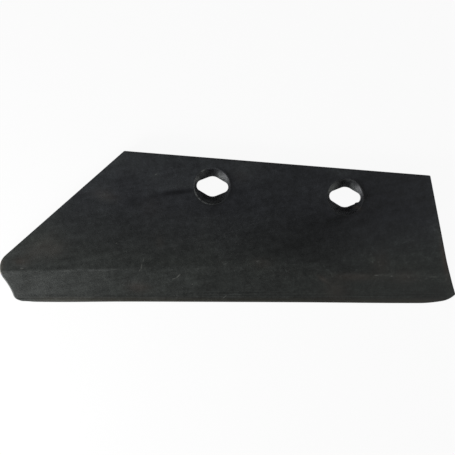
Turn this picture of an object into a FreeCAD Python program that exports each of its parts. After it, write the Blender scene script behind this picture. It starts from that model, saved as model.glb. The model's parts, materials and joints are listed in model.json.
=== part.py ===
import FreeCAD, Part
import math
import os

# Plough share: one flat forged blade, held to the plough's frog by two countersunk
# plough bolts.  Millimetres.  Origin: midway between the two bolt centres, on the
# back face.  +X runs along the bolt line towards the heel, +Y towards the top edge,
# +Z out of the soil face.  The back face lies flat on z = 0.

# Plate
thickness = 10.0            # full stock between back face and soil face
top_edge_rise = 22.0        # top edge above the bolt line
nose_side_top = 71.1        # top edge past the nose-side bolt centre
heel_side_top = 64.9        # top edge past the heel-side bolt centre
slant_angle = 45.9          # slanted front edge, measured from the bolt line
edge_angle = 4.36           # cutting edge, measured from the bolt line
edge_drop = 87.7            # cutting edge below the origin
heel_angle = 74.5           # heel edge, measured from the bolt line
corner_radius = 1.2         # both ends of the top edge, and the heel's lower corner

# Nose: a round, a slightly hollow trimmed end, then the toe of the cutting edge
nose_radius = 13.3
nose_trim_angle = 56.8      # trimmed end, measured from the bolt line
nose_trim_length = 14.4
nose_trim_radius = 49.0     # hollow of the trimmed end
toe_radius = 9.0

# Heel: the cutting edge sweeps up to a corner, and the heel edge flares out to meet it
heel_sweep_radius = 109.0
heel_sweep_turn = 9.5       # degrees turned along the arc, as are the two below
heel_corner_radius = 18.2
heel_corner_turn = 35.2
heel_flare_radius = 191.0
heel_flare_turn = 9.3

# Forged bevel on the soil face along the cutting edge, and the land beside the edge
bevel_width = 25.0          # cutting edge to crease, square to the edge
crease_radius = 10.0        # soft bend where the bevel leaves the soil face
land_width = 3.8
land_height = 3.9           # metal left where the bevel meets the land
land_radius = 12.0          # soft bend between bevel and land
edge_height = 2.2           # metal left at the blunt cutting edge

# Arrises
face_arris = 1.0            # rolled over round the soil face
back_arris = 0.5            # rounded round the back face

# Bolt seats, for plough bolts whose countersunk heads have two nibs
bolt_spacing = 105.0
seat_radius = 14.2          # round mouth in the soil face
seat_wall = 2.0             # straight wall below the mouth
seat_chamfer = 0.4          # broken edge round the mouth
cone_angle = 45.0           # cone wall, measured from the bolt axis
throat_radius = 7.95        # round waist of the opening, over the bolt shank
nib_reach = 8.4             # bolt axis to the centre of a nib slot's tip
nib_radius = 4.4            # tip of each nib slot


def heading(degrees):
    turn = math.radians(degrees)
    return FreeCAD.Vector(math.cos(turn), math.sin(turn), 0)


def line_edge(start, end):
    return Part.LineSegment(start, end).toShape()


def arc_step(radius, way, turn):
    """Vector along an arc that sets off at heading way: left turns are positive."""
    side = math.copysign(radius, turn)
    return (heading(way + turn - 90) - heading(way - 90)) * side


def arc_chain(point, way, arcs):
    """Edges of tangent arcs, each a radius and a turn, with the point they end at."""
    edges = []
    for radius, turn in arcs:
        middle = point + arc_step(radius, way, turn / 2)
        end = point + arc_step(radius, way, turn)
        edges.append(Part.Arc(point, middle, end).toShape())
        point, way = end, way + turn
    return edges, point


def first_run(first, second, gap):
    """Distance along the first heading, where two headings together span the gap."""
    a, b = heading(first), heading(second)
    return (gap.x * b.y - gap.y * b.x) / (a.x * b.y - a.y * b.x)


def corner_join(first, second, arcs):
    """Arcs that leave the first line and land on the second: start, edges and end."""
    (point, way), (next_point, next_way) = first, second
    span = arc_chain(FreeCAD.Vector(0, 0, 0), way, arcs)[1]
    start = point + heading(way) * first_run(way, next_way, next_point - point - span)
    edges, end = arc_chain(start, way, arcs)
    return start, edges, end


def outline():
    """Closed wire of four straight sides joined by tangent arcs, run anticlockwise."""
    slant_way = 180 + slant_angle
    edge_way = 360 + edge_angle
    heel_way = 540 - heel_angle
    hollow_turn = math.degrees(nose_trim_length / nose_trim_radius)
    trim_way = 360 - nose_trim_angle + hollow_turn / 2
    edge_turn = heel_sweep_turn + heel_corner_turn
    sides = [
        (FreeCAD.Vector(0, top_edge_rise, 0), 180),
        (FreeCAD.Vector(-bolt_spacing / 2 - nose_side_top, top_edge_rise, 0), slant_way),
        (FreeCAD.Vector(0, -edge_drop, 0), edge_way),
        (FreeCAD.Vector(bolt_spacing / 2 + heel_side_top, top_edge_rise, 0), heel_way),
    ]
    corners = [
        [(corner_radius, slant_angle)],
        [
            (nose_radius, trim_way - slant_way),
            (nose_trim_radius, -hollow_turn),
            (toe_radius, edge_way - trim_way + hollow_turn),
        ],
        [
            (heel_sweep_radius, heel_sweep_turn),
            (heel_corner_radius, heel_corner_turn),
            (corner_radius, heel_way + heel_flare_turn - edge_way - edge_turn),
            (heel_flare_radius, -heel_flare_turn),
        ],
        [(corner_radius, heel_angle)],
    ]
    joins = [corner_join(sides[i], sides[(i + 1) % 4], corners[i]) for i in range(4)]
    edges = []
    for i in range(4):
        arcs, end = joins[i][1:]
        edges += arcs + [line_edge(end, joins[(i + 1) % 4][0])]
    return Part.Wire(edges)


def plate():
    return Part.Face(outline()).extrude(FreeCAD.Vector(0, 0, thickness))


def edge_point(inset, height, along=0.0):
    """Point at an inset from the cutting edge, and along it from below the origin."""
    foot = FreeCAD.Vector(0, -edge_drop, height)
    return foot + heading(edge_angle + 90) * inset + heading(edge_angle) * along


def bevel_waste(length):
    """Prism of the metal that forging takes off above the bevel and the land."""
    land_slope = (land_height - edge_height) / land_width
    bevel_slope = (thickness - land_height) / (bevel_width - land_width)
    over = thickness
    section = [
        (-over, edge_height - over * land_slope),
        (land_width, land_height),
        (bevel_width + over, thickness + over * bevel_slope),
        (-over, thickness + over * bevel_slope),
    ]
    corners = [edge_point(inset, height, -length / 2) for inset, height in section]
    face = Part.Face(Part.makePolygon(corners + corners[:1]))
    return face.extrude(heading(edge_angle) * length)


def bend_edges(solid, inset, height):
    """Edges of the solid on the line that runs along the blade at this inset."""
    line = Part.Line(edge_point(inset, height), edge_point(inset, height, thickness))
    bends = []
    for edge in solid.Edges:
        ends = [vertex.Point for vertex in edge.Vertexes]
        if all(line.projectPoint(end).distanceToPoint(end) < 1e-4 for end in ends):
            bends.append(edge)
    return bends


def tilt(face):
    """Upward part of the face's normal at its middle."""
    u0, u1, v0, v1 = face.ParameterRange
    return face.normalAt((u0 + u1) / 2, (v0 + v1) / 2).z


def rim_edges(solid, side):
    """Edges between the upright walls and the soil face (side 1) or back face (-1)."""
    rims = []
    for edge in solid.Edges:
        tilts = [tilt(face) * side for face in solid.ancestorsOfType(edge, Part.Face)]
        if min(tilts, key=abs) < 1e-6 and max(tilts) > 0.5:
            rims.append(edge)
    return rims


def blade():
    """Plate with its forged bevel, soft bends and rounded arrises, before punching."""
    solid = plate()
    solid = solid.cut(bevel_waste(2 * solid.BoundBox.DiagonalLength)).Solids[0]
    solid = solid.makeFillet(crease_radius, bend_edges(solid, bevel_width, thickness))
    solid = solid.makeFillet(land_radius, bend_edges(solid, land_width, land_height))
    solid = solid.makeFillet(face_arris, rim_edges(solid, 1))
    return solid.makeFillet(back_arris, rim_edges(solid, -1))


def nib_opening():
    """Prism right through the blade: a round waist with a nib slot at each side."""
    contact = math.degrees(math.acos((throat_radius - nib_radius) / nib_reach))
    edges = []
    for side in (0, 180):
        tip, far_tip = heading(side) * nib_reach, heading(side + 180) * nib_reach
        slot_start = tip + heading(side - contact) * nib_radius
        slot_end = tip + heading(side + contact) * nib_radius
        waist_start = heading(side + contact) * throat_radius
        waist_end = heading(side + 180 - contact) * throat_radius
        next_slot = far_tip + heading(side + 180 - contact) * nib_radius
        slot_bottom = tip + heading(side) * nib_radius
        waist_middle = heading(side + 90) * throat_radius
        edges.append(Part.Arc(slot_start, slot_bottom, slot_end).toShape())
        edges.append(line_edge(slot_end, waist_start))
        edges.append(Part.Arc(waist_start, waist_middle, waist_end).toShape())
        edges.append(line_edge(waist_end, next_slot))
    prism = Part.Face(Part.Wire(edges)).extrude(FreeCAD.Vector(0, 0, 3 * thickness))
    return prism.translated(FreeCAD.Vector(0, 0, -thickness))


def bolt_seat():
    """Turned shape of the seat: chamfered mouth, straight wall, then the cone."""
    wall_top = thickness - seat_chamfer
    cone_top = wall_top - seat_wall
    cone_depth = (seat_radius - throat_radius) / math.tan(math.radians(cone_angle))
    profile = [
        (0, cone_top - cone_depth),
        (throat_radius, cone_top - cone_depth),
        (seat_radius, cone_top),
        (seat_radius, wall_top),
        (seat_radius + 2 * seat_chamfer, wall_top + 2 * seat_chamfer),
        (0, wall_top + 2 * seat_chamfer),
    ]
    corners = [FreeCAD.Vector(radius, 0, height) for radius, height in profile]
    face = Part.Face(Part.makePolygon(corners + corners[:1]))
    return face.revolve(FreeCAD.Vector(0, 0, 0), FreeCAD.Vector(0, 0, 1), 360)


def share_blade():
    solid = blade()
    for side in (-1, 1):
        bolt_axis = FreeCAD.Vector(side * bolt_spacing / 2, 0, 0)
        punch = [bolt_seat().translated(bolt_axis), nib_opening().translated(bolt_axis)]
        solid = solid.cut(punch)
    return solid.Solids[0]


os.makedirs("parts", exist_ok=True)
share_blade().exportStep("parts/share_blade.step")
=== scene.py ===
import json
import math
import bpy
import numpy as np
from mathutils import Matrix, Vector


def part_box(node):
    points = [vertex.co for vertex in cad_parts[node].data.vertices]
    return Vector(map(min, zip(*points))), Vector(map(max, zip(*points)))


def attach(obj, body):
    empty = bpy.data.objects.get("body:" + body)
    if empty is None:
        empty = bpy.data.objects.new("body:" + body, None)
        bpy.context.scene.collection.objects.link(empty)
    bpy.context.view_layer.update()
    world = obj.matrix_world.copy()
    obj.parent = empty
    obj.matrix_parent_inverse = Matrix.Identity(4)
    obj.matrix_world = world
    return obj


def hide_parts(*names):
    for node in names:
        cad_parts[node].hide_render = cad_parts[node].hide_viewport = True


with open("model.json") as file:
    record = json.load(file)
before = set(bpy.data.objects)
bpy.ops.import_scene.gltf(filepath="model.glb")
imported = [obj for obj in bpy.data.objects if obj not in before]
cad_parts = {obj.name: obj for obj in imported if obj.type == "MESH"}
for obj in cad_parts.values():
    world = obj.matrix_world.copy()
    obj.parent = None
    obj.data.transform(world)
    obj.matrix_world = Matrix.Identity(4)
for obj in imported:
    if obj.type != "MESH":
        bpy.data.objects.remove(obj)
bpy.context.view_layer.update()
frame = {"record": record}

mm = 0.001
mounts = {mount["name"]: mount for mount in frame["record"]["mounts"]}
noseSeat, heelSeat = mounts["nose_bolt_seat"], mounts["heel_bolt_seat"]
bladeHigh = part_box("share_blade")[1]

# lengths in mm, angles in degrees from the line through the bolt seats
plan = {
    "boltSpacing": (heelSeat["pos_m"][0] - noseSeat["pos_m"][0]) / mm,
    "topRise": bladeHigh[1] / mm,
    "noseSideTop": 71.1, "heelSideTop": 64.9,
    "slantAngle": 45.9, "edgeAngle": 4.36, "edgeDrop": 87.7, "heelAngle": 74.5,
    "noseRadius": 13.3, "trimAngle": 56.8, "trimLength": 14.4, "trimRadius": 49.0,
    "toeRadius": 9.0, "sweepRadius": 109.0, "sweepTurn": 9.5,
    "heelRadius": 18.2, "heelTurn": 35.2, "flareRadius": 191.0, "flareTurn": 9.3,
    "cornerRadius": 1.2,
    # bulges of the rim: height, distance past the start or the end of the straight cutting
    # edge, half length
    "toeBulges": [(0.60, 26, 36), (0.45, -7.2, 2.6)], "heelBulge": (0.36, -20, 48),
}


def unit(degrees):
    # unit vector at an angle: cosine across, sine up
    turn = np.radians(degrees)
    return np.stack([np.cos(turn), np.sin(turn)], axis=-1)


def arcSpan(way, arcs):
    # vector over a run of tangent arcs: each adds its radius times the change in normal
    span = np.zeros(2)
    for radius, turn in arcs:
        side = math.copysign(radius, turn)
        span = span + side * (unit(way + turn - 90) - unit(way - 90))
        way += turn
    return span


def joinLines(lineA, lineB, arcs):
    # slides the arcs along line A until they end on line B, and gives their start and end
    (pointA, wayA), (pointB, wayB) = lineA, lineB
    span = arcSpan(wayA, arcs)
    steps = np.stack([unit(wayA), -unit(wayB)], axis=1)
    alongA, alongB = np.linalg.solve(steps, pointB - pointA - span)
    return pointA + alongA * unit(wayA), pointB + alongB * unit(wayB)


def bladeRuns(plan):
    # closed anticlockwise run of straights and tangent arcs: start, heading, length, bend
    half = plan["boltSpacing"] / 2
    hollow = math.degrees(plan["trimLength"] / plan["trimRadius"])
    slantWay = 180 + plan["slantAngle"]
    trimWay = 360 - plan["trimAngle"] + hollow / 2
    edgeWay = 360 + plan["edgeAngle"]
    heelWay = 540 - plan["heelAngle"]
    vertexTurn = heelWay + plan["flareTurn"] - edgeWay - plan["sweepTurn"] - plan["heelTurn"]
    lines = [
        (np.array([0.0, plan["topRise"]]), 180),
        (np.array([-half - plan["noseSideTop"], plan["topRise"]]), slantWay),
        (np.array([0.0, -plan["edgeDrop"]]), edgeWay),
        (np.array([half + plan["heelSideTop"], plan["topRise"]]), heelWay),
    ]
    corners = [
        [(plan["cornerRadius"], plan["slantAngle"])],
        [
            (plan["noseRadius"], trimWay - slantWay),
            (plan["trimRadius"], -hollow),
            (plan["toeRadius"], edgeWay - trimWay + hollow),
        ],
        [
            (plan["sweepRadius"], plan["sweepTurn"]),
            (plan["heelRadius"], plan["heelTurn"]),
            (plan["cornerRadius"], vertexTurn),
            (plan["flareRadius"], -plan["flareTurn"]),
        ],
        [(plan["cornerRadius"], plan["heelAngle"])],
    ]
    joins = [joinLines(lines[i], lines[(i + 1) % 4], corners[i]) for i in range(4)]
    runs = []
    for i in range(4):
        point, way = joins[i][0], lines[i][1]
        for radius, turn in corners[i]:
            length = radius * math.radians(abs(turn))
            runs.append((point, way, length, math.radians(turn) / length))
            point, way = point + arcSpan(way, [(radius, turn)]), way + turn
        length = np.linalg.norm(joins[(i + 1) % 4][0] - joins[i][1])
        runs.append((joins[i][1], way, length, 0.0))
    return runs


runs = bladeRuns(plan)
runPoint = np.array([run[0] for run in runs])
runWay = np.array([run[1] for run in runs], float)
runLength = np.array([run[2] for run in runs])
runBend = np.array([run[3] for run in runs])
runStart = np.concatenate([[0.0], np.cumsum(runLength)[:-1]])
girth = runLength.sum()
# runs used by name: rounds and corners where the face's four sides meet, then straight sides
topNoseRun, toeRun, vertexRun, topHeelRun = 0, 4, 8, 11
slantRun, cuttingRun, heelRun, topRun = 1, 5, 10, 12


def smoothStep(value, start, end):
    # 0 before start, 1 past end, and three t squared less two t cubed between them
    t = np.clip((value - start) / (end - start), 0, 1)
    return t * t * (3 - 2 * t)


def bell(value, shape):
    # height times e to the minus squared distance from the place, measured in half lengths
    height, place, length = shape
    return height * np.exp(-(((value - place) / length) ** 2))


def wander(distance):
    # how far the hammered rim stands out past its true line, in mm: one bell each side of the
    # toe's lowest point, and one that fades away before the heel's corner
    pastToe = distance - runStart[cuttingRun]
    pastHeel = pastToe - runLength[cuttingRun]
    edgeBulge, cornerBulge = plan["toeBulges"]
    bulge = bell(pastToe, edgeBulge) * smoothStep(pastToe, 0, 9) + bell(pastToe, cornerBulge)
    return bulge + bell(pastHeel, plan["heelBulge"]) * (1 - smoothStep(pastHeel, 0, 25))


def outlineAt(distance, inset):
    # point of the outline at a distance round it, moved in along its normal by the inset:
    # each run's chord is its length times the sine over the angle of half its bend
    distance = np.mod(distance, girth)
    inset = inset - wander(distance)
    run = np.clip(np.searchsorted(runStart, distance, side="right") - 1, 0, len(runs) - 1)
    along = distance - runStart[run]
    halfTurn = runBend[run] * along / 2
    chord = along * np.sinc(halfTurn / np.pi)
    point = runPoint[run] + chord[..., None] * unit(runWay[run] + np.degrees(halfTurn))
    inward = unit(runWay[run] + np.degrees(2 * halfTurn) + 90)
    return point + inward * np.asarray(inset)[..., None]


# lengths in mm; heights are measured from the back face
forging = {
    "thickness": bladeHigh[2] / mm,
    "bevelWidth": 24.4, "landWidth": 3.8, "landHeight": 3.9, "edgeHeight": 2.2,
    # how far the hammered crease strays, and how softly it bends at each end
    "creaseRise": 4.2, "creaseFall": 6.4, "creaseDip": 0.9, "creaseWaver": 0.35,
    "creaseSoftNose": 0.9, "creaseSoftHeel": 4.5, "landSoft": 0.7,
    "faceArris": 1.0, "backArris": 0.5,
    "rowsAlong": 352, "rowsBevel": 26, "rowsAcross": 130,
    "windowCells": (46, 42),           # grid cells round each bolt seat, along and across
    "backWindowInset": 1.3,            # from each opening to the back face's first ring
    "slopeStep": 0.15,                 # step inwards over which the face's slope is taken
}


def softRamp(value, soft):
    # 0 below -soft, the value itself above soft, and a parabola that joins them
    middle = (value + soft) ** 2 / (4 * soft)
    return np.where(value > soft, value, np.where(value < -soft, 0.0, middle))


def bump(x, y, centre, size, way=0.0):
    # bell: e to the minus squared distance, measured in half lengths along and across way
    along = unit(way)
    dx, dy = x - centre[0], y - centre[1]
    a = (dx * along[0] + dy * along[1]) / size[0]
    b = (dy * along[0] - dx * along[1]) / size[1]
    return np.exp(-(a * a + b * b))


def rolling(x, y, cell, seed):
    # smooth noise, -1 to 1: random heights on a square net, blended by smooth steps
    net = np.random.default_rng(seed).uniform(-1, 1, (64, 64))
    u, v = x / cell + 31.7, y / cell + 17.3
    i, j = np.floor(u).astype(int), np.floor(v).astype(int)
    a, b = smoothStep(u - i, 0, 1), smoothStep(v - j, 0, 1)

    def row(q):
        return net[i % 64, (j + q) % 64] * (1 - a) + net[(i + 1) % 64, (j + q) % 64] * a

    return row(0) * (1 - b) + row(1) * b


def edgeCoordinates(x, y):
    # distance along the cutting edge from below the origin, and square to it into the blade
    along, square = unit(plan["edgeAngle"]), unit(plan["edgeAngle"] + 90)
    dy = y + plan["edgeDrop"]
    return x * along[0] + dy * along[1], x * square[0] + dy * square[1]


def creaseInset(along):
    # the bevel's width, which grows towards the middle of the blade and drops before the heel
    rise = forging["creaseRise"] * smoothStep(along, -180, -35)
    fall = forging["creaseFall"] * smoothStep(along, 18, 62)
    dip = forging["creaseDip"] * (1 - smoothStep(along, -197, -184))
    waver = forging["creaseWaver"] * rolling(along, 0 * along, 17, 5)
    return forging["bevelWidth"] + rise - fall - dip + waver


def faceHeight(x, y):
    # thickness, less the bevel below the crease, less the land, less shallow forging marks
    along, inset = edgeCoordinates(x, y)
    crease = creaseInset(along)
    bevelDrop = forging["thickness"] - forging["landHeight"]
    slope = bevelDrop / (crease - forging["landWidth"])
    landSlope = (forging["landHeight"] - forging["edgeHeight"]) / forging["landWidth"]
    heelward = smoothStep(along, -60, 40)
    soft = forging["creaseSoftNose"] * (1 - heelward) + forging["creaseSoftHeel"] * heelward
    drop = slope * softRamp(crease - inset, soft)
    drop = drop + (landSlope - slope) * softRamp(forging["landWidth"] - inset, forging["landSoft"])
    marks = 0.06 * (1 + rolling(x, y, 34, 11)) + 0.03 * (1 + rolling(x, y, 11, 12))
    marks = marks + 0.012 * (1 + rolling(x, y, 3.4, 13))
    return forging["thickness"] - drop - marks


# the bolt seats: a round mouth, a straight wall, a cone, and a throat with two nib slots
seat = {
    "radius": noseSeat["dims"]["r_mm"] - 0.1,
    "coneTop": (noseSeat["pos_m"][2] / mm) - noseSeat["dims"]["length_mm"] / 2,
    "coneAngle": 45.0, "mouthArris": 0.25,
    "throatRadius": 7.95, "nibReach": 8.2, "nibRadius": 4.35,
    "centres": [noseSeat["pos_m"], heelSeat["pos_m"]],
    # burrs in each opening: height, direction and half width in degrees
    "burrs": [[(0.15, 178.0, 12.0)], [(0.9, -23.0, 5.0), (0.25, 0.0, 14.0)]],
}


def openingRadius(angle, burrs):
    # radius of the pointed oval in each direction: the throat's circle, the flanks that
    # touch both circles, and the nib circles, whichever faces that way, less the burrs
    throat, reach, tip = seat["throatRadius"], seat["nibReach"], seat["nibRadius"]
    contact = math.acos((throat - tip) / reach)
    tipContact = math.atan2(tip * math.sin(contact), reach + tip * math.cos(contact))
    fold = np.arcsin(np.abs(np.sin(angle)))
    flank = throat / np.cos(np.minimum(np.abs(fold - contact), 1.2))
    root = np.sqrt(np.maximum(tip ** 2 - (reach * np.sin(fold)) ** 2, 0))
    nib = reach * np.cos(fold) + root
    radius = np.where(fold > contact, throat, np.where(fold > tipContact, flank, nib))
    for height, way, width in burrs:
        away = np.degrees(np.angle(np.exp(1j * (angle - math.radians(way)))))
        radius = radius - height * np.exp(-((away / width) ** 2))
    return radius


skin = {"points": [], "quads": [], "triangles": [], "count": 0}


def addPoints(points):
    # stores a block of points and gives their numbers, in the block's own shape
    flat = points.reshape(-1, 3)
    numbers = np.arange(len(flat)) + skin["count"]
    skin["points"].append(flat)
    skin["count"] += len(flat)
    return numbers.reshape(points.shape[:-1])


def addQuads(a, b, c, d):
    skin["quads"].append(np.stack([a, b, c, d], axis=-1).reshape(-1, 4))


def addBands(rings):
    # quads between neighbouring closed rings, which run anticlockwise seen from outside
    nearRing, farRing = rings[:-1], rings[1:]
    addQuads(nearRing, farRing, np.roll(farRing, -1, axis=1), np.roll(nearRing, -1, axis=1))


def addHalving(fine, coarse, inside=False):
    # joins a ring to one with half as many points: three triangles for each coarse side
    a, b, c = fine[0::2], fine[1::2], np.roll(fine[0::2], -1)
    d, e = coarse, np.roll(coarse, -1)
    for triangle in ((a, d, b), (b, d, e), (b, e, c)):
        turned = triangle[::-1] if inside else triangle
        skin["triangles"].append(np.stack(turned, axis=-1))


def crowdEnds(t, reach=0.012, ease=0.65):
    # even steps, drawn together near both ends by two fading exponentials
    pull = ease * reach
    warped = t + pull * (np.exp(-t / reach) - np.exp(-(1 - t) / reach))
    return (warped - pull) / (1 - 2 * pull)


def sideDistances(rowsAlong, rowsAcross):
    # distances round the outline for the sheet's four sides, between its corners at the
    # toe, the heel, and the two ends of the top edge; a row starts where the crease does
    cornerRuns = (topNoseRun, toeRun, vertexRun, topHeelRun)
    topNose, toe, heel, topHeel = (runStart[i] + runLength[i] / 2 for i in cornerRuns)
    creaseRow = forging["rowsBevel"] / forging["rowsAcross"]
    search = np.linspace(0, 60, 600)
    found = []
    for corner, way in ((toe, -1), (heel, 1)):
        path = outlineAt(corner + way * search, 0 * search)
        along, inset = edgeCoordinates(path[:, 0], path[:, 1])
        found.append(corner + way * np.interp(0, inset - creaseInset(along), search))
    u = crowdEnds(np.linspace(0, 1, rowsAlong + 1))
    v = np.linspace(0, 1, rowsAcross + 1)
    climb = crowdEnds(v)
    nose = np.interp(climb, [0, creaseRow, 1], [toe, found[0], topNose])
    tail = np.interp(climb, [0, creaseRow, 1], [heel, found[1], topHeel])
    bottom = toe + u * (heel - toe)
    top = topNose + girth + u * (topHeel - topNose - girth)
    return u, climb, bottom, tail, top, nose


def sheetPlan(rowsAlong, rowsAcross, inset):
    # plan of a face: rows ruled from the nose side to the heel side, then bent to the
    # cutting edge by a weight that fades as the fourth power of the way up
    u, v, bottom, tail, top, nose = sideDistances(rowsAlong, rowsAcross)
    sides = [outlineAt(side, np.full(len(side), inset)) for side in (bottom, tail, top, nose)]
    low, right, high, left = sides
    u, v = u[None, :, None], v[:, None, None]
    ruled = left[:, None] * (1 - u) + right[:, None] * u
    lowRule = left[0] * (1 - u) + right[0] * u
    highRule = left[-1] * (1 - u) + right[-1] * u
    grid = ruled + (1 - v) ** 4 * (low[None] - lowRule) + v ** 4 * (high[None] - highRule)
    rim = np.concatenate([bottom[:-1], tail[:-1], top[:0:-1], nose[:0:-1]])
    return grid, rim


def loopOf(block):
    # the border of a grid block, anticlockwise from its first corner
    return np.concatenate([block[0, :-1], block[:-1, -1], block[-1, :0:-1], block[:0:-1, 0]])


def addSheet(grid, heights, windows):
    # a face as a grid, left open inside each window; gives the numbers of its points
    numbers = np.full(grid.shape[:2], -1)
    keep = np.ones(grid.shape[:2], bool)
    cells = np.ones((grid.shape[0] - 1, grid.shape[1] - 1), bool)
    for j0, j1, i0, i1 in windows:
        keep[j0 + 1:j1, i0 + 1:i1] = False
        cells[j0:j1, i0:i1] = False
    numbers[keep] = addPoints(np.dstack([grid, heights])[keep])
    corners = [numbers[:-1, :-1], numbers[:-1, 1:], numbers[1:, 1:], numbers[1:, :-1]]
    return numbers, [corner[cells] for corner in corners]


def lift(plane, height):
    # plan points raised to a height
    heights = np.broadcast_to(height, plane.shape[:-1])
    return np.concatenate([plane, heights[..., None]], axis=-1)


def quarter(steps):
    # angles from zero to a right angle, in even steps
    return np.linspace(0.0, math.pi / 2, steps + 1)


def edgeRings(rim):
    # the blade's rim: the face's arris turns from the face's own slope to upright, then
    # the wall goes down to a small arris that turns into the back face
    arris, back, step = forging["faceArris"], forging["backArris"], forging["slopeStep"]
    top = outlineAt(rim, np.full(len(rim), arris))
    deeper = outlineAt(rim, np.full(len(rim), arris + step))
    height = faceHeight(top[:, 0], top[:, 1])
    rise = np.maximum(faceHeight(deeper[:, 0], deeper[:, 1]) - height, 0)
    slope = np.arctan2(rise, step)
    radius = arris / (1 - np.sin(slope))
    rings = []
    for share in np.linspace(0, 1, 6)[1:]:
        angle = slope + (math.pi / 2 - slope) * share
        inset = radius * (1 - np.sin(angle))
        level = height - radius * (np.cos(slope) - np.cos(angle))
        rings.append(lift(outlineAt(rim, inset), level))
    foot = rings[-1][:, 2]
    for share in (0.34, 0.67, 1.0):
        level = foot + (back - foot) * share
        rough = 0.05 * (1 + rolling(rim, level, 2.2, 21)) * math.sin(math.pi * share)
        rings.append(lift(outlineAt(rim, rough), level))
    for angle in quarter(3)[1:]:
        inset = np.full(len(rim), back * (1 - math.cos(angle)))
        rings.append(lift(outlineAt(rim, inset), back * (1 - math.sin(angle))))
    return rings


def seatRings(centre, burrs, frontLoop):
    # one bolt seat, as rings that go down from the soil face to the back face
    axis = np.array(centre[:2]) / mm
    offset = frontLoop - axis
    angle = np.arctan2(offset[:, 1], offset[:, 0])
    way = np.stack([np.cos(angle), np.sin(angle)], axis=-1)
    opening = openingRadius(angle, burrs)
    arris, radius, back = seat["mouthArris"], seat["radius"], forging["backArris"]
    mouth = axis + way * (radius + arris)
    rings = []
    for share in (0.3, 0.6, 0.85, 0.96):
        plane = frontLoop + (mouth - frontLoop) * share
        rings.append(lift(plane, faceHeight(plane[:, 0], plane[:, 1])))
    top = faceHeight(mouth[:, 0], mouth[:, 1])
    for turn in quarter(4):
        spread = radius + arris * (1 - math.sin(turn))
        rings.append(lift(axis + way * spread, top - arris * (1 - math.cos(turn))))
    wallTop = rings[-1][:, 2]
    for share in (0.5, 1.0):
        rings.append(lift(axis + way * radius, wallTop + (seat["coneTop"] - wallTop) * share))
    slope = math.tan(math.radians(seat["coneAngle"]))
    for share in np.linspace(0, 1, 9)[1:]:
        spread = radius + (opening - radius) * share
        level = seat["coneTop"] - (radius - spread) / slope
        rings.append(lift(axis + way * spread[:, None], level))
    throatTop = rings[-1][:, 2]
    for share in (0.33, 0.67, 1.0):
        level = throatTop + (back - throatTop) * share
        rings.append(lift(axis + way * opening[:, None], level))
    for turn in quarter(3)[1:]:
        spread = opening + back * (1 - math.cos(turn))
        rings.append(lift(axis + way * spread[:, None], back * (1 - math.sin(turn))))
    return rings, way, opening


def buildBlade():
    # front face, rim, both bolt seats and back face, as one closed skin
    rowsAlong, rowsAcross = forging["rowsAlong"], forging["rowsAcross"]
    front, rim = sheetPlan(rowsAlong, rowsAcross, forging["faceArris"])
    coarse, _ = sheetPlan(rowsAlong // 2, rowsAcross // 2, 1.1)
    halfI, halfJ = (cells // 2 for cells in forging["windowCells"])
    windows = []
    for centre in seat["centres"]:
        away = np.linalg.norm(front - np.array(centre[:2]) / mm, axis=-1)
        j, i = np.unravel_index(away.argmin(), away.shape)
        j, i = j - (j + halfJ) % 2, i - (i + halfI) % 2
        windows.append((j - halfJ, j + halfJ, i - halfI, i + halfI))
    frontIds, corners = addSheet(front, faceHeight(front[..., 0], front[..., 1]), windows)
    addQuads(*corners)

    edge = [loopOf(frontIds)] + [addPoints(ring) for ring in edgeRings(rim)]
    addBands(np.array(edge))
    halfWindows = [tuple(k // 2 for k in window) for window in windows]
    backIds, corners = addSheet(coarse, np.zeros(coarse.shape[:2]), halfWindows)
    addQuads(*corners[::-1])
    addHalving(edge[-1], loopOf(backIds))

    # the rings of each seat join the two faces' windows
    seats = zip(windows, halfWindows, seat["centres"], seat["burrs"])
    for window, halfWindow, centre, burrs in seats:
        j0, j1, i0, i1 = window
        frontLoop = loopOf(front[j0:j1 + 1, i0:i1 + 1])
        rings, way, opening = seatRings(centre, burrs, frontLoop)
        rings = [loopOf(frontIds[j0:j1 + 1, i0:i1 + 1])] + [addPoints(ring) for ring in rings]
        addBands(np.array(rings[::-1]))
        j0, j1, i0, i1 = halfWindow
        backLoop = loopOf(coarse[j0:j1 + 1, i0:i1 + 1])
        spread = opening[0::2, None] + forging["backWindowInset"]
        first = np.array(centre[:2]) / mm + way[0::2] * spread
        shares = (0.0, 0.25, 0.6)
        inner = [addPoints(lift(first + (backLoop - first) * share, 0.0)) for share in shares]
        addHalving(rings[-1], inner[0], inside=True)
        addBands(np.array([loopOf(backIds[j0:j1 + 1, i0:i1 + 1])] + inner[::-1]))
    return tuple(np.concatenate(skin[part]) for part in ("points", "quads", "triangles"))


print("share: forging the blade's skin, with its bevel, rim and bolt seats")
bladePoints, bladeQuads, bladeTriangles = buildBlade()
print("share:", len(bladePoints), "points in the skin")


# wear and painted light of each seat: where the painted highlight on its wall starts, in mm right
# of a slanting line through its axis, and how strong it is; the rub round the mouth's lower left;
# how much painted shade darkens the cone's top and the ring round the mouth's upper right, how much
# darker the ring at its foot is; and painted glints on the walls: x and y from the axis, half lengths,
# direction, strength
seatWearAndShading = [
    {
        "flank": -0.3, "cut": 0.80, "rub": 0.70, "top": 0.35, "shoulder": 0.6, "foot": 0.45,
        "paintedGlints": [
            (-12.3, 4.4, 2.0, 1.1, 66, 1.0), (-8.4, 11.4, 1.6, 0.6, 36, 0.6),
            (-9, 8.6, 4, 1.6, 45, 0.22),
        ],
    },
    {
        "flank": 0.85, "cut": 0.74, "rub": 0.14, "top": 0.75, "shoulder": 0.9, "foot": 0.25,
        "paintedGlints": [
            (-10.6, 7.0, 4.6, 2.0, 46, 0.80), (-12.4, 4.0, 2.4, 1.3, 70, 0.5),
            (2, 13.2, 5, 0.8, 0, 0.14),
        ],
    },
]
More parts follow.
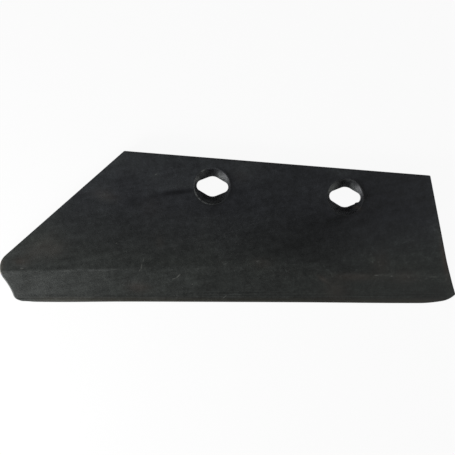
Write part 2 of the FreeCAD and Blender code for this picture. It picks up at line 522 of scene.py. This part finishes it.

# stains, rubs and patches of painted shade and light on the soil face: x, y, half length, half width
# (mm), direction, strength
wearAndShade = {
    # natural log of the tone: below zero darker, above zero paler; partly the scale's own stains and
    # rubs, partly painted shade and painted light
    "tone": [
        (-79, -7.2, 13, 1.9, 12, -1.00), (-112, -17, 13, 2.6, 16, -0.22),
        (-152, -34, 13, 3.0, 16, -0.12), (-79, -2.5, 14, 2.2, 12, 0.22), (27, -31, 30, 16, 14, -0.34),
        (43, -22, 20, 9, 12, -0.22), (4, -17, 16, 10, 10, -0.10), (16, -45, 26, 10, 6, -0.24),
        (42, -40, 14, 8, 0, -0.20), (-14, -40, 14, 9, 10, -0.14), (-36, 2, 6, 9, 0, -0.12),
        (72, 0, 8, 14, 0, -0.34), (54, -18, 16, 5, 8, -0.32), (-50, -19, 12, 4, 8, -0.26),
        (-180, -56, 16, 9, 46, 0.32), (-139, -10, 7, 20, 80, 0.16), (-136, -16, 3, 10, 78, 0.22),
        (-143, -34, 1.2, 9, 84, 0.16), (-97, 5, 3.4, 2.4, 40, 0.30), (-98, 12, 46, 13, 0, 0.42),
        (-88, -5, 26, 11, 0, 0.24), (-134, -8, 12, 14, 0, 0.20), (-34, 13, 20, 10, 0, 0.28),
        (20, 8, 14, 12, 0, 0.14), (-6, 2, 16, 14, 0, 0.08), (-54, -38, 9, 20, 0, 0.24),
        (-66, -62, 7, 6, 0, 0.28), (-138, -28, 10, 6, 0, 0.1), (-30, 16, 18, 6, 0, 0.14),
        (50, 18, 10, 4, 0, 0.44), (112, -36, 26, 28, 0, 0.29), (134, -38, 9, 26, 12, 0.32),
        (100, -50, 26, 7, 4, 0.14), (70, -44, 10, 9, 0, 0.10), (-60, -77, 8, 2.2, 12, 0.20),
        (-80, -30, 36, 9, 16, 0.06), (-138, -64, 24, 6, 6, 0.12), (-120, -40, 22, 8, 16, -0.08),
        (-38, -60, 5, 2.4, 24, 0.40), (-9, -57, 16, 3.6, 6, 0.26), (20, -57, 14, 1.8, 5, 0.26),
        (36, -57, 9, 3.0, 0, 0.24), (78, -48, 4.5, 4.5, 0, 0.24), (77.6, -47, 2.0, 1.3, 20, 0.45),
        (77, -50.5, 1.8, 1.0, 10, 0.50), (92, -59, 42, 1.5, 5, 0.28), (40, -66, 4.4, 0.8, -26, 0.34),
        (60, -13, 40, 2.6, 14, -0.10), (-192, -86, 9, 10, 0, -0.22), (-204, -84, 5, 10, 30, -0.14),
        (122, -77, 14, 5, 8, -0.34), (46, -82, 16, 5, 6, -0.20), (34, -60, 12, 6, 0, -0.22),
        (-198, -67, 6, 3, 0, -0.18), (31, -4, 5, 8, 0, 0.22), (41, 17, 6, 6, 0, 0.2),
        (98, 21, 12, 4, 0, -0.44), (-58, 15, 8, 6, 0, 0.14), (-120, 14, 12, 8, 0, 0.10),
        (128, -18, 7, 6, 0, 0.32), (126, 8, 5, 10, 0, 0.14), (-60, -16, 8, 4, 10, -0.10),
        (-28, 20, 8, 3, 0, 0.14), (-146, -92.5, 30, 3.5, 4.4, 0.06), (60, -73, 14, 6, 4, -0.06),
        (93, -9, 15, 11, 0, -0.17), (-60, -37, 80, 10, 2, -0.08), (14, -62, 30, 5, 4, -0.12),
        (-24, 14, 9, 8, 0, 0.14), (-90, 8, 9, 5, 0, -0.12), (54, -60, 9, 6, 0, -0.18),
        (-72, -90.8, 32, 2.4, 4.4, 0.09), (96, -78, 18, 1.8, 4.4, -0.10),
        (133.5, -42.6, 1.3, 2.8, 14, 0.55), (133, -34.8, 1.2, 1.6, 14, 0.4), (-62, -8, 7, 6, 0, -0.16),
        (112, 6, 14, 12, 0, 0.06), (-68, 2, 4, 8, 0, 0.08),
    ],
    # brown rust that has started to show through
    "rust": [
        (-136, -14, 4, 9, 80, 0.30), (-104, -84, 9, 4, 0, 0.42), (51, -74, 9, 8, 0, 0.34),
        (65, -62, 16, 3, 4, 0.50), (104, -59, 11, 5, 4, 0.36), (84, -50, 6, 9, 0, 0.30),
        (133.8, -42, 2.2, 14, 14, 1.0), (133, -26, 1.6, 20, 15, 0.3), (-185, -60, 16, 6, 46, 0.26),
        (-172, -60, 9, 6, 30, 0.30), (-198, -71, 5, 2.6, 0, 0.4), (-9, -57, 8, 4, 0, 0.26),
        (-90, -47, 3, 5, 0, 0.2), (-32, 10, 6, 5, 0, 0.14), (40, -66, 5, 1.6, -30, 0.5),
        (62.4, -7.4, 2.6, 1.6, -25, 0.8), (-100, -20, 8, 8, 0, 0.10),
    ],
    # zones where the scale is dotted with bright pin-pricks
    "specks": [
        (-35, -40, 26, 14, 10, 0.75), (-25, -60, 40, 6, 6, 1.0), (40, -60, 44, 6, 5, 0.9),
        (80, -47, 14, 8, 0, 1.0), (104, -60, 34, 3, 5, 1.0), (-20, -25, 14, 4, 10, 0.7),
        (-120, -70, 60, 5, 4, 0.5), (-136, -14, 5, 14, 80, 0.7), (133.6, -44, 1.5, 14, 14, 1.3),
    ],
    # strengths of the patterns, natural logs
    "mottle": 0.42, "wipe": 0.20, "drag": 0.34, "lines": 0.36,
    # sides rubbed paler along their rims: side, strength, half width
    "rims": [(slantRun, 0.26, 6), (topRun, 0.16, 4), (heelRun, 0.16, 5)],
    # grime on the land: strength, and where it starts and ends from the edge and from the toe
    "landGrime": 0.4, "landGrimeInset": (1.0, 5.0), "landGrimeAlong": (-196, -170),
    # spots on the nose's rim: strength, x, half length, y, half width
    "noseGrime": (0.9, -213.4, 2.4, -75, 7),
    "noseBare": [(0.10, -213.5, 2.0, -77, 6), (0.10, -195.6, 3, -74.6, 1.2)],
    # rubbed crease, along the edge: where the nose's stretch starts and ends, its least share,
    # its peaks as height, place and half length, and the heel's strength and start
    "creaseStart": (-214, -207), "creaseEnd": (-126, -102), "creaseLeast": 0.45,
    "creasePeaks": [(0.55, -140, 20), (0.5, -203, 6)],
    "creaseHeel": 0.25, "creaseHeelStart": (24, 60),
    "noseShade": (-90, -40),                     # where the nose's land shades give way
    # lines drawn along the bevel: where they start, and how far in from the edge they reach
    "linesAlong": (-88, -48), "linesFade": (-14.0, -6), "linesInset": (1.0, 2.0),
}


def stains(x, y, patches):
    # sum of bells, each with its own place, half lengths, direction and strength
    total = np.zeros_like(x)
    for placeX, placeY, length, width, way, strength in patches:
        total = total + strength * bump(x, y, (placeX, placeY), (length, width), way)
    return total


def insideOf(x, y, run):
    # distance inside one straight side of the outline
    inward = unit(runWay[run] + 90)
    return (x - runPoint[run][0]) * inward[0] + (y - runPoint[run][1]) * inward[1]


def fade(value, width):
    return np.exp(-((value / width) ** 2))


def sector(angle, middle, spread):
    # 1 at the middle direction, falling off as a bell over the spread, in degrees
    away = np.degrees(np.angle(np.exp(1j * np.radians(angle - middle))))
    return fade(away, spread)


def spot(x, y, shape):
    # strength times a bell in x times a bell in y
    strength, placeX, length, placeY, width = shape
    return strength * fade(x - placeX, length) * fade(y - placeY, width)


def cutWedge(reach, angle, dx, dy, marks):
    # share of the painted highlight on a seat's wall: right of a slanting line, above the axis, and
    # inside the mouth
    wedge = smoothStep(dx - 0.21 * dy, marks["flank"] - 0.4, marks["flank"] + 0.4)
    wedge = wedge * sector(angle, 45, 42) ** 0.3 * smoothStep(angle, 4, 18)
    return wedge * (1 - smoothStep(reach - seat["radius"], -3.0, -1.1))


def wallTone(reach, angle, drag, bright, marks):
    # tone of a seat's walls: dragged, with painted shade low down, at the throat and at the top, and
    # painted light low down near the mouth
    low = sector(angle, -95, 78)
    throat = fade(reach - seat["throatRadius"] - 1.0, 2.4)
    wall = drag * (1 + bright) - 0.3 * low - 0.9 * throat * low
    wall = wall - marks["top"] * sector(angle, 108, 26) * (1 - bright)
    return wall + 0.4 * low * smoothStep(reach, 10.5, 13)


def wearAndShadeSeat(x, y, centre, marks, tone, bareAndHighlight, dry):
    # wears one bolt seat and paints its light: painted shade and highlights on its walls, painted
    # glints, the rub on its mouth, and painted shade and light and a darker foot in the rings round
    # the mouth
    dx, dy = x - centre[0] / mm, y - centre[1] / mm
    reach, angle = np.hypot(dx, dy), np.degrees(np.arctan2(dy, dx))
    pastMouth = reach - seat["radius"]
    inSeat = 1 - smoothStep(pastMouth, -0.1, 0.15)
    drag = rolling(angle, 2 * reach, 5, 44) * wearAndShade["drag"]
    bright = cutWedge(reach, angle, dx, dy, marks)
    tone = tone * (1 - inSeat) + wallTone(reach, angle, drag, bright, marks) * inSeat
    # painted highlight over the wall's lit wedge, laid on in the bare steel colour
    cut = marks["cut"] * bright * (0.12 + 0.17 * sector(angle, 62, 22)) * (1 + 1.4 * drag)
    bareAndHighlight = bareAndHighlight * (1 - inSeat) + inSeat * cut
    # painted glints on the walls
    bareAndHighlight = bareAndHighlight + stains(dx, dy, marks["paintedGlints"]) * (1 - smoothStep(pastMouth, 0.0, 0.7))
    rub = marks["rub"] * (1 + 2 * drag) * sector(angle, -136, 54)
    bareAndHighlight = bareAndHighlight + rub * fade(pastMouth - 0.1, 0.3)
    dry = np.maximum(dry, fade(pastMouth - 0.1, 0.9))
    # painted shade in the ring round the mouth's upper right; the ring at its foot darker; painted
    # shade outside its right side and painted light outside its left side
    tone = tone - marks["shoulder"] * fade(pastMouth - 0.4, 1.2) * sector(angle, 34, 46)
    tone = tone - marks["foot"] * fade(pastMouth - 1.0, 0.9) * sector(angle, -95, 90)
    tone = tone - 0.12 * (1 - inSeat) * fade(pastMouth - 2.0, 1.6) * sector(angle, 10, 60)
    tone = tone + 0.16 * (1 - inSeat) * fade(pastMouth - 1.6, 1.4) * sector(angle, 200, 50)
    return tone, bareAndHighlight, dry


def creaseRub(along):
    # share of the crease that is rubbed bright: a stretch by the nose and one by the heel
    start, end = (smoothStep(along, *wearAndShade[name]) for name in ("creaseStart", "creaseEnd"))
    peaks = [bell(along, peak) for peak in wearAndShade["creasePeaks"]]
    rubbed = start * (1 - end) * (wearAndShade["creaseLeast"] + peaks[0] + peaks[1])
    return rubbed + wearAndShade["creaseHeel"] * smoothStep(along, *wearAndShade["creaseHeelStart"])


def wearAndLightMasks(points):
    # what the material draws its wear and painted light from, at each point of the skin: tone with
    # painted shade and light, rust, grime, bare metal with painted highlights, dry rings, specks,
    # drawn lines, the nose's end, and the crease's rub and distance
    x, y, z = points.T
    along, inset = edgeCoordinates(x, y)
    onFace = smoothStep(z, forging["edgeHeight"] * 0.5, forging["edgeHeight"])
    tone = stains(x, y, wearAndShade["tone"])
    for side, strength, width in wearAndShade["rims"]:
        tone = tone + strength * fade(insideOf(x, y, side), width)
    grime = wearAndShade["landGrime"] * (1 - smoothStep(inset, *wearAndShade["landGrimeInset"]))
    grime = grime * smoothStep(along, *wearAndShade["landGrimeAlong"]) + spot(x, y, wearAndShade["noseGrime"])
    bareAndHighlight = sum(spot(x, y, shape) for shape in wearAndShade["noseBare"])
    dry = np.zeros_like(x)
    for centre, marks in zip(seat["centres"], seatWearAndShading):
        tone, bareAndHighlight, dry = wearAndShadeSeat(x, y, centre, marks, tone, bareAndHighlight, dry)
    lines = smoothStep(along, *wearAndShade["linesAlong"]) * smoothStep(-inset, *wearAndShade["linesFade"])
    masks = {
        "tone": tone, "rust": stains(x, y, wearAndShade["rust"]), "grime": grime, "bareAndHighlight": bareAndHighlight,
        "dry": dry, "specks": stains(x, y, wearAndShade["specks"]),
        "lines": lines * smoothStep(inset, *wearAndShade["linesInset"]),
        "nearNose": 1 - smoothStep(along, *wearAndShade["noseShade"]), "creaseWear": creaseRub(along),
    }
    masks = {name: np.clip(mask, -2, 1) * onFace for name, mask in masks.items()}
    masks["creaseGap"] = inset - creaseInset(along)
    return masks


def linear(code):
    # an sRGB hex code as linear light: the low end divided by 12.92, the rest a 2.4 power
    parts = [int(code[i:i + 2], 16) / 255 for i in (1, 3, 5)]
    return [p / 12.92 if p <= 0.04045 else ((p + 0.055) / 1.055) ** 2.4 for p in parts] + [1.0]


def addNode(tree, kind, settings=None, links=None):
    # adds a node: settings are its properties, or values of its inputs by name or number;
    # links are what its inputs take: outputs of nodes, or nodes for their first output
    item = tree.nodes.new(kind)
    for name, value in (settings or {}).items():
        if isinstance(name, str) and hasattr(item, name):
            setattr(item, name, value)
        else:
            item.inputs[name].default_value = value
    for name, source in (links or {}).items():
        output = source.outputs[0] if hasattr(source, "outputs") else source
        tree.links.new(output, item.inputs[name])
    return item


finish = {
    "scaleCool": "#232529", "scaleWarm": "#272a28",      # towards the top edge, towards the bevel
    # the bare steel colour also paints the highlights and glints in the seats
    "rust": "#3f3833", "grime": "#3e3b33", "bareAndHighlight": "#8d908e", "scratch": "#b4b5b0",
    "oilRoughness": 0.26, "dryRoughness": 0.53, "bareRoughness": 0.36,
    "metallic": 0.3, "bareMetallic": 0.85,
    "wipeAngle": 15.6,                                   # direction of the wiped streaks
    "lineSpacing": 0.9, "speckSize": 2.4 * mm,
    # shades across the land: mm from the edge, then 0 darker, 0.5 plain, 1 paler
    "landReach": 6.0,
    "noseLand": [
        (0.0, 0.68), (0.8, 0.68), (1.4, 0.52), (1.8, 0.20), (2.2, 0.08), (2.6, 0.34),
        (3.1, 0.46), (3.6, 0.48), (4.0, 0.38), (4.4, 0.30), (5.0, 0.40), (6.0, 0.56),
    ],
    "heelLand": [
        (0.0, 0.42), (1.0, 0.41), (1.9, 0.36), (2.3, 0.06), (2.8, 0.16), (3.3, 0.34),
        (4.0, 0.42), (4.4, 0.72), (5.0, 0.74), (5.5, 0.34), (6.0, 0.54),
    ],
    "creaseWidth": 1.5, "beadSize": 5.5 * mm, "pitSize": 1.3 * mm, "pitDepth": 0.10 * mm,
    # bright scratches: x, y, half length, half width (mm), direction
    "scratches": [
        (-102.8, -67.5, 2.8, 0.62, 84), (-101.7, -62.2, 1.9, 0.35, 84), (-104, -70.6, 1.4, 0.35, 70),
        (-73.4, -72.6, 3.0, 0.85, 48), (-76.6, -74.9, 2.0, 0.5, 22),
        (-35.8, -86.2, 2.6, 0.45, 46), (-123.8, -50.8, 0.8, 0.6, 0), (-97.2, 5.6, 1.2, 0.6, 30),
        (-62.0, -78.2, 0.9, 0.4, 50), (-196.2, -76.4, 1.9, 0.75, 4),
        (81.5, -59.4, 2.4, 0.45, 4), (93.4, -59.2, 1.3, 0.55, 6), (126.0, -57.2, 6.0, 0.22, 5),
        (-37.6, -60.0, 2.0, 0.45, 20), (-12.0, -55.8, 2.0, 0.4, 12),
    ],
}


def scratchMask(tree, place):
    # each scratch is a lens: one less its distance from the middle in half lengths, made steep
    total = None
    for x, y, length, width, way in finish["scratches"]:
        lens = addNode(tree, "ShaderNodeMapping", {
            "vector_type": "TEXTURE", "Location": (x * mm, y * mm, 0),
            "Rotation": (0, 0, math.radians(way)), "Scale": (length * mm, width * mm, 1),
        }, {"Vector": place})
        ball = addNode(tree, "ShaderNodeTexGradient", {"gradient_type": "SPHERICAL"},
                       {"Vector": lens}).outputs["Fac"]
        if total is None:
            total = ball
        else:
            total = addNode(tree, "ShaderNodeMath", {"operation": "MAXIMUM"}, {0: total, 1: ball})
    return addNode(tree, "ShaderNodeMapRange", {"From Min": 0.05, "From Max": 0.75},
                   {"Value": total})


def mottle(tree, place, onEdge):
    # noise from 9 mm down to a quarter of a millimetre, every octave as strong as the next,
    # stretched about zero and made stronger towards the heel
    noise = addNode(tree, "ShaderNodeTexNoise", {
        "Scale": 1 / (9 * mm), "Detail": 5.0, "Roughness": 1.0}, {"Vector": place})
    spread = wearAndShade["mottle"] * 3
    grain = addNode(tree, "ShaderNodeMapRange", {"To Min": -spread, "To Max": spread},
                    {"Value": noise})
    coarser = addNode(tree, "ShaderNodeMapRange", {
        "From Min": -160, "From Max": 120, "To Min": 0.86, "To Max": 1.4},
        {"Value": onEdge["X"]})
    return addNode(tree, "ShaderNodeMath", {"operation": "MULTIPLY"}, {0: grain, 1: coarser})


def wipedStreaks(tree, place):
    # noise drawn out along the way the oil was wiped, stretched about zero
    wiped = addNode(tree, "ShaderNodeMapping", {
        "vector_type": "TEXTURE", "Rotation": (0, 0, math.radians(finish["wipeAngle"])),
        "Scale": (34 * mm, 3.6 * mm, 1)}, {"Vector": place})
    noise = addNode(tree, "ShaderNodeTexNoise", {"Scale": 1.0, "Detail": 3.0, "Roughness": 0.6},
                    {"Vector": wiped})
    spread = wearAndShade["wipe"] * 2
    return addNode(tree, "ShaderNodeMapRange", {"To Min": -spread, "To Max": spread},
                   {"Value": noise})


def drawnLines(tree, edge, mask):
    # noise drawn out along the cutting edge into fine lines, stretched about zero, times its mask
    drawn = addNode(tree, "ShaderNodeMapping", {
        "vector_type": "TEXTURE", "Scale": (70, finish["lineSpacing"], 1)}, {"Vector": edge})
    noise = addNode(tree, "ShaderNodeTexNoise", {"Scale": 1.0, "Detail": 2.0, "Roughness": 0.7},
                    {"Vector": drawn})
    spread = wearAndShade["lines"] * 3
    streak = addNode(tree, "ShaderNodeMapRange", {"To Min": -spread, "To Max": spread},
                     {"Value": noise})
    return addNode(tree, "ShaderNodeMath", {"operation": "MULTIPLY"},
                   {0: streak, 1: mask["lines"]})


def landShades(tree, onEdge, mask):
    # shades across the land, as ramps over its reach from the edge, mixed from heel to nose
    across = addNode(tree, "ShaderNodeMapRange", {"From Max": finish["landReach"]},
                     {"Value": onEdge["Y"]})
    shades = []
    for name in ("heelLand", "noseLand"):
        ramp = addNode(tree, "ShaderNodeValToRGB", {}, {"Fac": across})
        for i, (inset, shade) in enumerate(finish[name]):
            stop = ramp.color_ramp.elements[i] if i < 2 else ramp.color_ramp.elements.new(1.0)
            stop.position = inset / finish["landReach"]
            stop.color = (shade, shade, shade, 1)
        shades.append(addNode(tree, "ShaderNodeMapRange", {"To Min": -0.5, "To Max": 0.5},
                              {"Value": ramp}))
    return addNode(tree, "ShaderNodeMix", {"data_type": "FLOAT"},
                   {0: mask["nearNose"], 2: shades[0], 3: shades[1]})


def toneLog(tree, place, mask):
    # natural log of the tone: the stains with their painted shade and light, the mottle, the streaks,
    # the lines and the land, added up; the edge's own axes are mm along it, and mm square to it into
    # the blade
    edge = addNode(tree, "ShaderNodeMapping", {
        "vector_type": "TEXTURE", "Location": (0, -plan["edgeDrop"] * mm, 0),
        "Rotation": (0, 0, math.radians(plan["edgeAngle"])), "Scale": (mm, mm, 1)},
        {"Vector": place})
    onEdge = addNode(tree, "ShaderNodeSeparateXYZ", {}, {"Vector": edge}).outputs
    patterns = [
        mottle(tree, place, onEdge), wipedStreaks(tree, place), drawnLines(tree, edge, mask),
        landShades(tree, onEdge, mask),
    ]
    log = mask["tone"]
    for pattern in patterns:
        log = addNode(tree, "ShaderNodeMath", {"operation": "ADD"}, {0: log, 1: pattern})
    return log


def dirtyShadedScale(tree, place, mask, log):
    # the scale is bluish towards the top edge, and a greener grey on the bevel and where rubbed;
    # e to the power of the log scales it, laying on the painted shade and light with the stains, then
    # grime and rust are mixed over it
    up = addNode(tree, "ShaderNodeSeparateXYZ", {}, {"Vector": place}).outputs["Y"]
    drift = addNode(tree, "ShaderNodeMapRange", {
        "From Min": -62 * mm, "From Max": -12 * mm}, {"Value": up})
    rubbed = addNode(tree, "ShaderNodeMapRange", {"To Max": 0.7}, {"Value": mask["tone"]})
    drift = addNode(tree, "ShaderNodeMath", {"operation": "SUBTRACT"}, {0: drift, 1: rubbed})
    scale = addNode(tree, "ShaderNodeMix", {
        "data_type": "RGBA", 6: linear(finish["scaleWarm"]), 7: linear(finish["scaleCool"])},
        {0: drift})
    level = addNode(tree, "ShaderNodeMath", {"operation": "EXPONENT"}, {0: log})
    toned = addNode(tree, "ShaderNodeVectorMath", {"operation": "SCALE"},
                    {"Vector": scale.outputs[2], "Scale": level})
    soiled = addNode(tree, "ShaderNodeMix", {"data_type": "RGBA", 7: linear(finish["grime"])},
                     {0: mask["grime"], 6: toned})
    return addNode(tree, "ShaderNodeMix", {"data_type": "RGBA", 7: linear(finish["rust"])},
                   {0: mask["rust"], 6: soiled.outputs[2]}).outputs[2]


def creaseBeads(tree, place, mask):
    # the crease is rubbed bright in a line of beads: 1 at no distance from it and 0 past its
    # width, where a noise moves the distance, times the same noise's peaks and the rub's share
    noise = addNode(tree, "ShaderNodeTexNoise", {
        "Scale": 1 / finish["beadSize"], "Detail": 2.0}, {"Vector": place}).outputs
    stray = addNode(tree, "ShaderNodeMapRange", {"To Min": -1.0, "To Max": 1.0},
                    {"Value": noise["Color"]})
    gap = addNode(tree, "ShaderNodeMath", {"operation": "ADD"}, {0: mask["creaseGap"], 1: stray})
    gap = addNode(tree, "ShaderNodeMath", {"operation": "ABSOLUTE"}, {0: gap})
    line = addNode(tree, "ShaderNodeMapRange", {
        "interpolation_type": "SMOOTHSTEP", "From Max": finish["creaseWidth"],
        "To Min": 1.0, "To Max": 0.0}, {"Value": gap})
    beads = addNode(tree, "ShaderNodeMapRange", {
        "From Min": 0.38, "From Max": 0.68, "To Min": 0.03, "To Max": 0.22},
        {"Value": noise["Fac"]})
    beaded = addNode(tree, "ShaderNodeMath", {"operation": "MULTIPLY"}, {0: line, 1: beads})
    return addNode(tree, "ShaderNodeMath", {"operation": "MULTIPLY"},
                   {0: beaded, 1: mask["creaseWear"]})


def bareAndHighlightShare(tree, place, mask):
    # share of bare steel and painted highlight: its own mask, which carries the seats' painted
    # highlights and glints, pin-pricks at the peaks of a fine noise in their own zones, and the
    # crease's beads, added up
    noise = addNode(tree, "ShaderNodeTexNoise", {
        "Scale": 1 / finish["speckSize"], "Detail": 1.0, "Roughness": 0.5}, {"Vector": place})
    peak = addNode(tree, "ShaderNodeMapRange", {
        "From Min": 0.60, "From Max": 0.86, "To Max": 0.20}, {"Value": noise})
    pricks = addNode(tree, "ShaderNodeMath", {"operation": "MULTIPLY"},
                     {0: peak, 1: mask["specks"]})
    bareAndHighlight = addNode(tree, "ShaderNodeMath", {"operation": "ADD"}, {0: mask["bareAndHighlight"], 1: pricks})
    return addNode(tree, "ShaderNodeMath", {"operation": "ADD"},
                   {0: bareAndHighlight, 1: creaseBeads(tree, place, mask)})


def gloss(tree, mask, log, shine):
    # roughness: oily where the tone is dark, dry where it is pale and round the seats' mouths,
    # and that of bare steel where it shines
    rough = addNode(tree, "ShaderNodeMapRange", {
        "From Min": -1.0, "From Max": 0.4, "To Min": finish["oilRoughness"],
        "To Max": finish["dryRoughness"]}, {"Value": log})
    dry = addNode(tree, "ShaderNodeMapRange", {"To Max": 0.85}, {"Value": mask["dry"]})
    rough = addNode(tree, "ShaderNodeMath", {"operation": "MAXIMUM"}, {0: rough, 1: dry})
    return addNode(tree, "ShaderNodeMix", {"data_type": "FLOAT", 3: finish["bareRoughness"]},
                   {0: shine, 2: rough}).outputs[0]


def dippedForgedSteel():
    # hot-forged steel, quenched and dipped black: thin dark scale and oil over steel, so it is
    # near neutral, satin and softly mottled, bluish where it is thick, pale where it is rubbed,
    # with rust and grime at its rims and bare steel along the crease and the scratches; its tone also
    # carries painted shade and light on the face, and painted shade, highlights and glints in the
    # seats
    material = bpy.data.materials.new("dippedForgedSteel")
    material.use_nodes = True
    tree = material.node_tree
    shader = tree.nodes["Principled BSDF"]
    place = addNode(tree, "ShaderNodeTexCoord").outputs["Object"]
    mask = {}
    for name in ("tone", "rust", "grime", "bareAndHighlight", "dry", "specks", "lines", "nearNose",
                 "creaseWear", "creaseGap"):
        item = addNode(tree, "ShaderNodeAttribute", {"attribute_name": name})
        mask[name] = item.outputs["Fac"]

    log = toneLog(tree, place, mask)
    bareAndHighlight, scratch = bareAndHighlightShare(tree, place, mask), scratchMask(tree, place)
    worn = addNode(tree, "ShaderNodeMix", {"data_type": "RGBA", 7: linear(finish["bareAndHighlight"])},
                   {0: bareAndHighlight, 6: dirtyShadedScale(tree, place, mask, log)})
    faint = addNode(tree, "ShaderNodeMapRange", {"To Max": 0.30}, {"Value": scratch})
    colour = addNode(tree, "ShaderNodeMix", {"data_type": "RGBA", 7: linear(finish["scratch"])},
                     {0: faint, 6: worn.outputs[2]})
    tree.links.new(colour.outputs[2], shader.inputs["Base Color"])

    shine = addNode(tree, "ShaderNodeMath", {"operation": "MAXIMUM"}, {0: bareAndHighlight, 1: scratch})
    metallic = addNode(tree, "ShaderNodeMapRange", {
        "To Min": finish["metallic"], "To Max": finish["bareMetallic"]}, {"Value": shine})
    tree.links.new(metallic.outputs[0], shader.inputs["Metallic"])
    tree.links.new(gloss(tree, mask, log, shine), shader.inputs["Roughness"])

    # relief: pitted scale about a millimetre across and some microns deep
    pits = addNode(tree, "ShaderNodeTexNoise", {
        "Scale": 1 / finish["pitSize"], "Detail": 3.0, "Roughness": 0.6}, {"Vector": place})
    relief = addNode(tree, "ShaderNodeBump", {"Strength": 0.6, "Distance": finish["pitDepth"]},
                     {"Height": pits})
    tree.links.new(relief.outputs["Normal"], shader.inputs["Normal"])
    return material


def meshObject(name, points, quads, triangles, material):
    # points in mm become a smooth-shaded mesh in metres, sharp where it folds past 40 degrees
    mesh = bpy.data.meshes.new(name)
    mesh.from_pydata((points * mm).tolist(), [], quads.tolist() + triangles.tolist())
    mesh.polygons.foreach_set("use_smooth", np.ones(len(mesh.polygons), bool))
    mesh.set_sharp_from_angle(angle=math.radians(40))
    mesh.materials.append(material)
    mesh.update()
    piece = bpy.data.objects.new(name, mesh)
    bpy.context.scene.collection.objects.link(piece)
    return piece


print("share: dressing the skin in forge scale, and wearing it")
blade = meshObject("bladeSkin", bladePoints, bladeQuads, bladeTriangles, dippedForgedSteel())
for name, mask in wearAndLightMasks(bladePoints).items():
    layer = blade.data.attributes.new(name, "FLOAT", "POINT")
    layer.data.foreach_set("value", mask.astype(np.float32))
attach(blade, "root")
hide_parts("share_blade")

studio = {
    "roll": 4.6,                         # degrees the picture is turned from the bolt line
    "target": (-37.98 * mm, -31.48 * mm),
    "frameWidth": 356.7 * mm, "lens": 100.0, "sensor": 36.0,
    "floorSize": 6.0, "floorGap": 0.2 * mm, "floorWhite": "#f4f4f4", "backdropShare": 0.93,
    "world": 0.18,
    # heading in the picture and height, degrees; distance and size, metres; watts
    "lamps": {
        "keyLamp": (214, 18, 0.55, 0.25, 2.4),
        "noseLamp": (200, 15, 0.45, 0.20, 0.7),
        "heelLamp": (300, 35, 1.00, 0.50, 0.5),
        "highLamp": (350, 55, 1.00, 0.50, 0.8),
    },
}


def whiteFloor():
    # matt white paper: plain white to the camera and to reflections, keeping part of its
    # own shading so that the object's shadow shows
    material = bpy.data.materials.new("mattWhitePaper")
    material.use_nodes = True
    tree = material.node_tree
    shader = tree.nodes["Principled BSDF"]
    shader.inputs["Base Color"].default_value = linear(studio["floorWhite"])
    shader.inputs["Roughness"].default_value = 0.9
    glow = addNode(tree, "ShaderNodeEmission", {"Color": (1, 1, 1, 1), "Strength": 1.0})
    path = addNode(tree, "ShaderNodeLightPath").outputs
    seen = addNode(tree, "ShaderNodeMath", {"operation": "MAXIMUM"},
                   {0: path["Is Camera Ray"], 1: path["Is Glossy Ray"]})
    seenToo = addNode(tree, "ShaderNodeMath", {"operation": "MAXIMUM"},
                      {0: seen, 1: path["Is Transmission Ray"]})
    share = addNode(tree, "ShaderNodeMath", {
        "operation": "MULTIPLY", 1: studio["backdropShare"]}, {0: seenToo})
    mix = addNode(tree, "ShaderNodeMixShader", {}, {0: share, 1: shader, 2: glow})
    tree.links.new(mix.outputs[0], tree.nodes["Material Output"].inputs["Surface"])
    return material


print("share: laying the floor and hanging the lamps")
floorHalf = studio["floorSize"] / 2 / mm
floorX, floorY = floorHalf * np.array([[-1, 1, 1, -1], [-1, -1, 1, 1]])
floorPoints = np.stack([floorX, floorY, 0 * floorX], axis=-1)
floor = meshObject("floor", floorPoints, np.array([[0, 1, 2, 3]]), np.zeros((0, 3), int),
                   whiteFloor())
floor.location.z = -studio["floorGap"]

target = np.array([*studio["target"], bladeHigh[2]])
for name, (heading, height, distance, size, watts) in studio["lamps"].items():
    lamp = bpy.data.lights.new(name, "AREA")
    lamp.shape, lamp.size, lamp.energy = "DISK", size, watts
    holder = bpy.data.objects.new(name, lamp)
    level = unit(heading + studio["roll"]) * math.cos(math.radians(height))
    away = np.array([*level, math.sin(math.radians(height))])
    holder.location = target + away * distance
    turn = math.radians(heading + studio["roll"] + 90)
    holder.rotation_euler = (math.radians(90 - height), 0, turn)
    bpy.context.scene.collection.objects.link(holder)

world = bpy.data.worlds.new("studioAir")
world.use_nodes = True
world.node_tree.nodes["Background"].inputs["Color"].default_value = (1, 1, 1, 1)
world.node_tree.nodes["Background"].inputs["Strength"].default_value = studio["world"]
bpy.context.scene.world = world

print("share: setting up the camera")
camera = bpy.data.cameras.new("camera")
camera.lens, camera.sensor_width = studio["lens"], studio["sensor"]
view = bpy.data.objects.new("camera", camera)
standoff = studio["frameWidth"] * studio["lens"] / studio["sensor"]
view.location = (target[0], target[1], target[2] + standoff)
view.rotation_euler = (0, 0, math.radians(studio["roll"]))
bpy.context.scene.collection.objects.link(view)
bpy.context.scene.camera = view
bpy.context.scene.view_settings.view_transform = "Standard"
